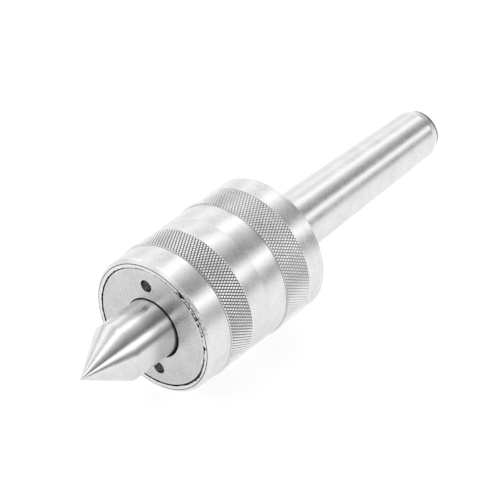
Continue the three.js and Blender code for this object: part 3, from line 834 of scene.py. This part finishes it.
def front_bearing():
    """A deep-groove ball bearing: both races have the same two faces."""
    race = reach("front_bearing_outer_race")
    front, rear = race.front, race.rear
    middle = (rear + front) / 2
    ball, pitch, count = 5.953 / 2, 12.5, 8
    outer_land, inner_land, bore = 14.9, 10.9, 7.6
    rabbet, rabbet_depth = 16.0, 1.1
    outer_edge, inner_edge = 0.5, 0.3
    groove = ball + BALL_CLEARANCE
    outer_angle = math.degrees(math.asin((outer_land - pitch) / groove))
    inner_angle = math.degrees(math.asin((pitch - inner_land) / groove))
    fine_ring("front_bearing_outer_race", [
        (rear + rabbet_depth, outer_land), (rear + rabbet_depth, rabbet), (rear, rabbet),
        (rear, race.radius, outer_edge), (front, race.radius, outer_edge), (front, rabbet),
        (front - rabbet_depth, rabbet), (front - rabbet_depth, outer_land),
        *arc(middle, pitch, groove, outer_angle, 180 - outer_angle),
    ], BEARING_STEEL)
    fine_ring("front_bearing_inner_race", [
        (front, inner_land, inner_edge), (front, bore, inner_edge), (rear, bore, inner_edge),
        (rear, inner_land, inner_edge), *arc(middle, pitch, groove, 180 + inner_angle, 360 - inner_angle),
    ], BEARING_STEEL)
    for node in ("front_bearing_front_shield", "front_bearing_rear_shield"):
        bearing_shield(node, middle, inner_land + 0.3)
    cage_half = 1.1
    ball_cage("front_bearing_cage", count, ball, pitch, pitch - cage_half, pitch + cage_half)
    balls("front_bearing_ball", count, ball, pitch, middle)

def bearing_shield(node, middle, inner):
    """A thin plate whose outer part is pressed a little away from the bearing's middle."""
    shield = reach(node)
    away = 1 if shield.rear > middle else -1
    face, back = (shield.front, shield.rear) if away > 0 else (shield.rear, shield.front)
    step, bend_start, bend_end, rim, edge = 0.12 * away, 13.6, 13.9, shield.radius - 0.2, 0.05
    fine_ring(node, [
        (back, inner), (face - step, inner), (face - step, bend_start), (face, bend_end), (face, rim),
        (face - step, shield.radius), (back, shield.radius), (back, bend_end),
    ], SHEET_STEEL, edge)

def thrust_bearing():
    """Two washers with a ball groove in the face of each. Only the shaft washer fits the spindle closely."""
    shaft, housing = reach("thrust_bearing_shaft_washer"), reach("thrust_bearing_housing_washer")
    middle = (shaft.front + housing.rear) / 2
    ball, pitch, count = 4.762 / 2, 9.5, 10
    groove = ball + BALL_CLEARANCE
    shaft_bore, housing_bore, edge = 6.1, 6.6, 0.3
    for node, washer, bore, side in (("thrust_bearing_shaft_washer", shaft, shaft_bore, 1),
                                     ("thrust_bearing_housing_washer", housing, housing_bore, -1)):
        back, face = (washer.front, washer.rear) if side > 0 else (washer.rear, washer.front)
        groove_angle = math.degrees(math.acos(abs(face - middle) / groove))
        start, end = (-groove_angle, groove_angle) if side > 0 else (180 + groove_angle, 180 - groove_angle)
        fine_ring(node, [(back, bore, edge), (face, bore, edge), *arc(middle, pitch, groove, start, end),
                         (face, washer.radius, edge), (back, washer.radius, edge)], BEARING_STEEL)
    cage_bore, cage_radius = 6.9, 12.3
    ball_cage("thrust_bearing_cage", count, ball, pitch, cage_bore, cage_radius)
    balls("thrust_bearing_ball", count, ball, pitch, middle)

def box_mesh(length, width, height):
    """A box of three sizes in millimetres, round its own middle."""
    box = bmesh.new()
    bmesh.ops.create_cube(box, size=MM, matrix=Matrix.Diagonal((length, width, height, 1)))
    data = bpy.data.meshes.new("box")
    box.to_mesh(data)
    box.free()
    return data

def needle_bearing():
    """A cup pressed from sheet with its lips turned in, rollers, and a sleeve with a window for each."""
    cup, cage = reach("needle_bearing_cup"), reach("needle_bearing_cage")
    wall, lip, lip_radius, cup_edge, sheet_edge = 0.4, 0.6, 5.5, 0.5, 0.15
    pitch, roller, roller_half, roller_edge, count = 5.77, 0.75, 4.7, 0.25, 12
    sleeve_half = 0.4
    window_length, window_width, window_depth = 2 * roller_half + 0.2, 1.74, 1.6
    middle = (cup.rear + cup.front) / 2
    fine_ring("needle_bearing_cup", [
        (cup.rear + lip, cup.radius - wall, 0), (cup.rear + lip, lip_radius), (cup.rear, lip_radius),
        (cup.rear, cup.radius, cup_edge), (cup.front, cup.radius, cup_edge), (cup.front, lip_radius),
        (cup.front - lip, lip_radius), (cup.front - lip, cup.radius - wall, 0),
    ], SHEET_STEEL, sheet_edge)
    sleeve = turned_mesh(rows([
        (cage.rear, pitch - sleeve_half), (cage.rear, pitch + sleeve_half),
        (cage.front, pitch + sleeve_half), (cage.front, pitch - sleeve_half),
    ], columns=FINE_COLUMNS))
    windows = []
    for index in range(count):
        angle = FULL_TURN * index / count
        windows.append(moved_out(box_mesh(window_length, window_width, window_depth), pitch, angle, middle))
        needle = turned_mesh(rows([
            (-roller_half, 0), (-roller_half, roller, roller_edge), (roller_half, roller, roller_edge),
            (roller_half, 0),
        ], columns=32))
        piece(f"needle_bearing_roller_{index + 1}", moved_out(needle, pitch, angle, middle), [BEARING_STEEL])
    piece("needle_bearing_cage", cut(sleeve, windows, [SHEET_STEEL]), [SHEET_STEEL])

front_bearing()
thrust_bearing()
needle_bearing()

# ------------------------------------------------------------------ floor, light and camera

# A sheet of pale paper, lit from below: its size in metres, and its fibres to the metre.
FLOOR_SIZE = 40.0
FLOOR_GREY = 0.4
FLOOR_GLOW = 0.73
FIBRE_SCALE = 300.0
FIBRE_SHADE = 0.01

# A light tent of long soft strips that run along X: the angle from straight up towards +Y, in degrees,
# and the brightness there.
LIGHT_TENT = (
    (-100, 0.90), (-84, 0.87), (-60, 1.4), (-46, 1.05), (-36, 0.78), (-24, 1.35), (-16, 2.0), (-6, 1.25),
    (2, 0.80), (15, 0.50), (29, 0.27), (36, 0.30), (43, 1.0), (49, 1.95), (56, 1.8), (64, 1.0), (70, 0.52),
    (77, 0.30), (84, 0.45), (92, 0.85), (104, 0.97),
)

# The tent's two open ends are darker. They fade in as a direction's X goes from the first of these values
# to the second.
TENT_ENDS = (0.80, 0.95)
END_SHADE = 0.35

# The camera's place and reach are in metres, and its lens and sensor in millimetres.
CAMERA_PLACE = (0.6493, 0.5286, 0.6361)
CAMERA_AZIMUTH = math.radians(129.73)
CAMERA_ELEVATION = math.radians(37.48)
CAMERA_LENS = 268.3
CAMERA_SENSOR = 36
CAMERA_REACH = 100

def make_floor():
    level = -KNURL_RADIUS * MM
    data = bpy.data.meshes.new("floor")
    half = FLOOR_SIZE / 2
    data.from_pydata([(-half, -half, level), (half, -half, level), (half, half, level), (-half, half, level)],
                     [], [(0, 1, 2, 3)])
    floor = bpy.data.objects.new("floor", data)
    bpy.context.scene.collection.objects.link(floor)
    paper = bpy.data.materials.new("back_lit_paper")
    tree = Tree(paper)
    here = tree.node("TexCoord").outputs["Object"]
    fibres = tree.noise(here, FIBRE_SCALE, detail=4.0)
    shade = tree.spread(fibres, FLOOR_GREY - FIBRE_SHADE, FLOOR_GREY + FIBRE_SHADE)
    shader = tree.node("BsdfPrincipled", {"Base Color": shade, "Roughness": 0.9,
                                          "Emission Color": (1, 1, 1, 1), "Emission Strength": FLOOR_GLOW})
    tree.node("OutputMaterial", {"Surface": shader.outputs[0]})
    data.materials.append(paper)

def make_light():
    world = bpy.data.worlds.new("light_tent")
    bpy.context.scene.world = world
    tree = Tree(world)
    direction = tree.node("SeparateXYZ", {0: tree.node("TexCoord").outputs["Generated"]})
    angle = tree.math("ARCTAN2", direction.outputs["Y"], direction.outputs["Z"])
    share = tree.scaled(angle, -math.pi, math.pi, 0.0, 1.0)
    strips = tree.node("ValToRGB", {"Fac": share})
    ramp = strips.color_ramp
    ramp.interpolation = "EASE"
    ready_made = len(ramp.elements)
    for index, (degrees, brightness) in enumerate(LIGHT_TENT):
        place = (degrees + 180) / 360
        stop = ramp.elements[index] if index < ready_made else ramp.elements.new(place)
        stop.position = place
        stop.color = (brightness, brightness, brightness, 1)
    endward = tree.math("ABSOLUTE", direction.outputs["X"])
    strength = tree.scaled(endward, *TENT_ENDS, 1.0, END_SHADE)
    background = tree.node("Background", {"Color": strips.outputs["Color"], "Strength": strength})
    tree.node("OutputWorld", {"Surface": background.outputs[0]})

def make_camera():
    lens = bpy.data.cameras.new("camera")
    lens.sensor_width = CAMERA_SENSOR
    lens.lens = CAMERA_LENS
    lens.clip_end = CAMERA_REACH
    camera = bpy.data.objects.new("camera", lens)
    bpy.context.scene.collection.objects.link(camera)
    back = Vector((math.sin(CAMERA_AZIMUTH) * math.cos(CAMERA_ELEVATION),
                   -math.cos(CAMERA_AZIMUTH) * math.cos(CAMERA_ELEVATION),
                   math.sin(CAMERA_ELEVATION)))
    camera.location = CAMERA_PLACE
    camera.rotation_euler = (-back).to_track_quat("-Z", "Y").to_euler()
    bpy.context.scene.camera = camera

make_floor()
make_light()
make_camera()
bpy.context.scene.view_settings.view_transform = "Standard"
